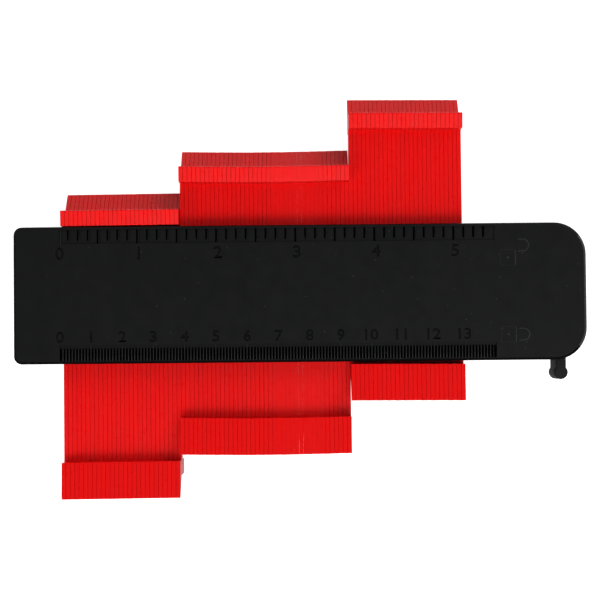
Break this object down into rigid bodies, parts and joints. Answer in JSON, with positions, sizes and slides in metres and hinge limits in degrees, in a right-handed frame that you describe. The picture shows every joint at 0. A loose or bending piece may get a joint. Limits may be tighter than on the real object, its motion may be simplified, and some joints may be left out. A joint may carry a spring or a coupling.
{
  "type": "contour gauge",
  "caption": "Flat profile-copying gauge: a stack of sliding plastic leaves through a ruled housing, held by a cam lever at one end.",
  "frame": {"origin": "centre of the housing's rear face, on which the gauge lies", "axes": "+X along the housing towards the lock lever, +Y along the leaves towards the inch scale, +Z out of the front face"},
  "size_m": [0.1838, 0.1301, 0.02],
  "materials": {
    "black_housing": "satin moulded",
    "black_lever": "satin moulded",
    "red_leaf": "semi-gloss moulded",
    "clamp_plastic": "satin moulded",
    "strip_rubber": "matt",
    "pin_steel": "ground",
    "screw_steel": "zinc plated"
  },
  "bodies": {
    "housing": {"front_cover": "black_housing", "rear_cover": "black_housing", "lever_pin": "pin_steel", "front_friction_strip": "strip_rubber", "rear_friction_strip": "strip_rubber", "housing_screw_1": "screw_steel", "housing_screw_2": "screw_steel", "housing_screw_3": "screw_steel", "housing_screw_4": "screw_steel"},
    "lever": {"lock_lever": "black_lever"},
    "clamp": {"clamp_block": "clamp_plastic"},
    "leaves_01": {"leaves_01": "red_leaf"},
    "leaves_02": {"leaves_02": "red_leaf"},
    "leaves_03": {"leaves_03": "red_leaf"},
    "leaves_04": {"leaves_04": "red_leaf"},
    "leaves_05": {"leaves_05": "red_leaf"},
    "leaves_06": {"leaves_06": "red_leaf"},
    "leaves_07": {"leaves_07": "red_leaf"},
    "leaves_08": {"leaves_08": "red_leaf"},
    "leaves_09": {"leaves_09": "red_leaf"},
    "leaves_10": {"leaves_10": "red_leaf"},
    "leaves_11": {"leaves_11": "red_leaf"},
    "leaves_12": {"leaves_12": "red_leaf"},
    "leaves_13": {"leaves_13": "red_leaf"},
    "leaves_14": {"leaves_14": "red_leaf"},
    "leaves_15": {"leaves_15": "red_leaf"},
    "leaves_16": {"leaves_16": "red_leaf"},
    "leaves_17": {"leaves_17": "red_leaf"},
    "leaves_18": {"leaves_18": "red_leaf"},
    "leaves_19": {"leaves_19": "red_leaf"},
    "leaves_20": {"leaves_20": "red_leaf"},
    "leaves_21": {"leaves_21": "red_leaf"},
    "leaves_22": {"leaves_22": "red_leaf"},
    "leaves_23": {"leaves_23": "red_leaf"},
    "leaves_24": {"leaves_24": "red_leaf"},
    "leaves_25": {"leaves_25": "red_leaf"},
    "leaves_26": {"leaves_26": "red_leaf"},
    "leaves_27": {"leaves_27": "red_leaf"},
    "leaves_28": {"leaves_28": "red_leaf"},
    "leaves_29": {"leaves_29": "red_leaf"},
    "leaves_30": {"leaves_30": "red_leaf"},
    "leaves_31": {"leaves_31": "red_leaf"},
    "leaves_32": {"leaves_32": "red_leaf"},
    "leaves_33": {"leaves_33": "red_leaf"},
    "leaves_34": {"leaves_34": "red_leaf"},
    "leaves_35": {"leaves_35": "red_leaf"},
    "leaves_36": {"leaves_36": "red_leaf"},
    "leaves_37": {"leaves_37": "red_leaf"},
    "leaves_38": {"leaves_38": "red_leaf"},
    "leaves_39": {"leaves_39": "red_leaf"},
    "leaves_40": {"leaves_40": "red_leaf"},
    "leaves_41": {"leaves_41": "red_leaf"},
    "leaves_42": {"leaves_42": "red_leaf"},
    "leaves_43": {"leaves_43": "red_leaf"},
    "leaves_44": {"leaves_44": "red_leaf"},
    "leaves_45": {"leaves_45": "red_leaf"},
    "leaves_46": {"leaves_46": "red_leaf"},
    "leaves_47": {"leaves_47": "red_leaf"}
  },
  "joints": [
    {"name": "lever_turn", "type": "hinge", "parent": "housing", "child": "lever", "pos_m": [0.08382, 0, 0.01], "axis": [0, 0, 1], "range_deg": [0, 180]},
    {"name": "clamp_slide", "type": "slide", "parent": "housing", "child": "clamp", "axis": [1, 0, 0], "range_m": [0, 0.00161]},
    {"name": "leaves_01_slide", "type": "slide", "parent": "housing", "child": "leaves_01", "axis": [0, 1, 0], "range_m": [-0.00001, 0.03129]},
    {"name": "leaves_02_slide", "type": "slide", "parent": "housing", "child": "leaves_02", "axis": [0, 1, 0], "range_m": [-0.00003, 0.03127]},
    {"name": "leaves_03_slide", "type": "slide", "parent": "housing", "child": "leaves_03", "axis": [0, 1, 0], "range_m": [-0.00005, 0.03125]},
    {"name": "leaves_04_slide", "type": "slide", "parent": "housing", "child": "leaves_04", "axis": [0, 1, 0], "range_m": [-0.00006, 0.03124]},
    {"name": "leaves_05_slide", "type": "slide", "parent": "housing", "child": "leaves_05", "axis": [0, 1, 0], "range_m": [-0.00008, 0.03122]},
    {"name": "leaves_06_slide", "type": "slide", "parent": "housing", "child": "leaves_06", "axis": [0, 1, 0], "range_m": [-0.0001, 0.0312]},
    {"name": "leaves_07_slide", "type": "slide", "parent": "housing", "child": "leaves_07", "axis": [0, 1, 0], "range_m": [-0.00012, 0.03118]},
    {"name": "leaves_08_slide", "type": "slide", "parent": "housing", "child": "leaves_08", "axis": [0, 1, 0], "range_m": [-0.00014, 0.03116]},
    {"name": "leaves_09_slide", "type": "slide", "parent": "housing", "child": "leaves_09", "axis": [0, 1, 0], "range_m": [-0.00016, 0.03114]},
    {"name": "leaves_10_slide", "type": "slide", "parent": "housing", "child": "leaves_10", "axis": [0, 1, 0], "range_m": [-0.00018, 0.03112]},
    {"name": "leaves_11_slide", "type": "slide", "parent": "housing", "child": "leaves_11", "axis": [0, 1, 0], "range_m": [-0.00019, 0.03111]},
    {"name": "leaves_12_slide", "type": "slide", "parent": "housing", "child": "leaves_12", "axis": [0, 1, 0], "range_m": [-0.00021, 0.03109]},
    {"name": "leaves_13_slide", "type": "slide", "parent": "housing", "child": "leaves_13", "axis": [0, 1, 0], "range_m": [-0.00023, 0.03107]},
    {"name": "leaves_14_slide", "type": "slide", "parent": "housing", "child": "leaves_14", "axis": [0, 1, 0], "range_m": [-0.00025, 0.03105]},
    {"name": "leaves_15_slide", "type": "slide", "parent": "housing", "child": "leaves_15", "axis": [0, 1, 0], "range_m": [-0.01397, 0.01733]},
    {"name": "leaves_16_slide", "type": "slide", "parent": "housing", "child": "leaves_16", "axis": [0, 1, 0], "range_m": [-0.01392, 0.01738]},
    {"name": "leaves_17_slide", "type": "slide", "parent": "housing", "child": "leaves_17", "axis": [0, 1, 0], "range_m": [-0.01386, 0.01744]},
    {"name": "leaves_18_slide", "type": "slide", "parent": "housing", "child": "leaves_18", "axis": [0, 1, 0], "range_m": [-0.01381, 0.01749]},
    {"name": "leaves_19_slide", "type": "slide", "parent": "housing", "child": "leaves_19", "axis": [0, 1, 0], "range_m": [-0.01377, 0.01753]},
    {"name": "leaves_20_slide", "type": "slide", "parent": "housing", "child": "leaves_20", "axis": [0, 1, 0], "range_m": [-0.01373, 0.01757]},
    {"name": "leaves_21_slide", "type": "slide", "parent": "housing", "child": "leaves_21", "axis": [0, 1, 0], "range_m": [-0.0137, 0.0176]},
    {"name": "leaves_22_slide", "type": "slide", "parent": "housing", "child": "leaves_22", "axis": [0, 1, 0], "range_m": [-0.01367, 0.01763]},
    {"name": "leaves_23_slide", "type": "slide", "parent": "housing", "child": "leaves_23", "axis": [0, 1, 0], "range_m": [-0.01366, 0.01764]},
    {"name": "leaves_24_slide", "type": "slide", "parent": "housing", "child": "leaves_24", "axis": [0, 1, 0], "range_m": [-0.01365, 0.01765]},
    {"name": "leaves_25_slide", "type": "slide", "parent": "housing", "child": "leaves_25", "axis": [0, 1, 0], "range_m": [-0.01365, 0.01765]},
    {"name": "leaves_26_slide", "type": "slide", "parent": "housing", "child": "leaves_26", "axis": [0, 1, 0], "range_m": [-0.01366, 0.01764]},
    {"name": "leaves_27_slide", "type": "slide", "parent": "housing", "child": "leaves_27", "axis": [0, 1, 0], "range_m": [-0.01368, 0.01762]},
    {"name": "leaves_28_slide", "type": "slide", "parent": "housing", "child": "leaves_28", "axis": [0, 1, 0], "range_m": [-0.01371, 0.01759]},
    {"name": "leaves_29_slide", "type": "slide", "parent": "housing", "child": "leaves_29", "axis": [0, 1, 0], "range_m": [-0.01375, 0.01755]},
    {"name": "leaves_30_slide", "type": "slide", "parent": "housing", "child": "leaves_30", "axis": [0, 1, 0], "range_m": [-0.01379, 0.01751]},
    {"name": "leaves_31_slide", "type": "slide", "parent": "housing", "child": "leaves_31", "axis": [0, 1, 0], "range_m": [-0.01384, 0.01746]},
    {"name": "leaves_32_slide", "type": "slide", "parent": "housing", "child": "leaves_32", "axis": [0, 1, 0], "range_m": [-0.01389, 0.01741]},
    {"name": "leaves_33_slide", "type": "slide", "parent": "housing", "child": "leaves_33", "axis": [0, 1, 0], "range_m": [-0.01394, 0.01736]},
    {"name": "leaves_34_slide", "type": "slide", "parent": "housing", "child": "leaves_34", "axis": [0, 1, 0], "range_m": [-0.01399, 0.01731]},
    {"name": "leaves_35_slide", "type": "slide", "parent": "housing", "child": "leaves_35", "axis": [0, 1, 0], "range_m": [-0.03079, 0.00051]},
    {"name": "leaves_36_slide", "type": "slide", "parent": "housing", "child": "leaves_36", "axis": [0, 1, 0], "range_m": [-0.03077, 0.00053]},
    {"name": "leaves_37_slide", "type": "slide", "parent": "housing", "child": "leaves_37", "axis": [0, 1, 0], "range_m": [-0.03074, 0.00056]},
    {"name": "leaves_38_slide", "type": "slide", "parent": "housing", "child": "leaves_38", "axis": [0, 1, 0], "range_m": [-0.03072, 0.00058]},
    {"name": "leaves_39_slide", "type": "slide", "parent": "housing", "child": "leaves_39", "axis": [0, 1, 0], "range_m": [-0.0307, 0.0006]},
    {"name": "leaves_40_slide", "type": "slide", "parent": "housing", "child": "leaves_40", "axis": [0, 1, 0], "range_m": [-0.03067, 0.00063]},
    {"name": "leaves_41_slide", "type": "slide", "parent": "housing", "child": "leaves_41", "axis": [0, 1, 0], "range_m": [-0.03065, 0.00065]},
    {"name": "leaves_42_slide", "type": "slide", "parent": "housing", "child": "leaves_42", "axis": [0, 1, 0], "range_m": [-0.03063, 0.00067]},
    {"name": "leaves_43_slide", "type": "slide", "parent": "housing", "child": "leaves_43", "axis": [0, 1, 0], "range_m": [-0.0306, 0.0007]},
    {"name": "leaves_44_slide", "type": "slide", "parent": "housing", "child": "leaves_44", "axis": [0, 1, 0], "range_m": [-0.03058, 0.00072]},
    {"name": "leaves_45_slide", "type": "slide", "parent": "housing", "child": "leaves_45", "axis": [0, 1, 0], "range_m": [-0.03056, 0.00074]},
    {"name": "leaves_46_slide", "type": "slide", "parent": "housing", "child": "leaves_46", "axis": [0, 1, 0], "range_m": [-0.03053, 0.00077]},
    {"name": "leaves_47_slide", "type": "slide", "parent": "housing", "child": "leaves_47", "axis": [0, 1, 0], "range_m": [-0.03051, 0.00079]}
  ],
  "couplings": [
    {"joint": "clamp_slide", "follows": "lever_turn", "m_per_rad": 0.0005093}
  ]
}
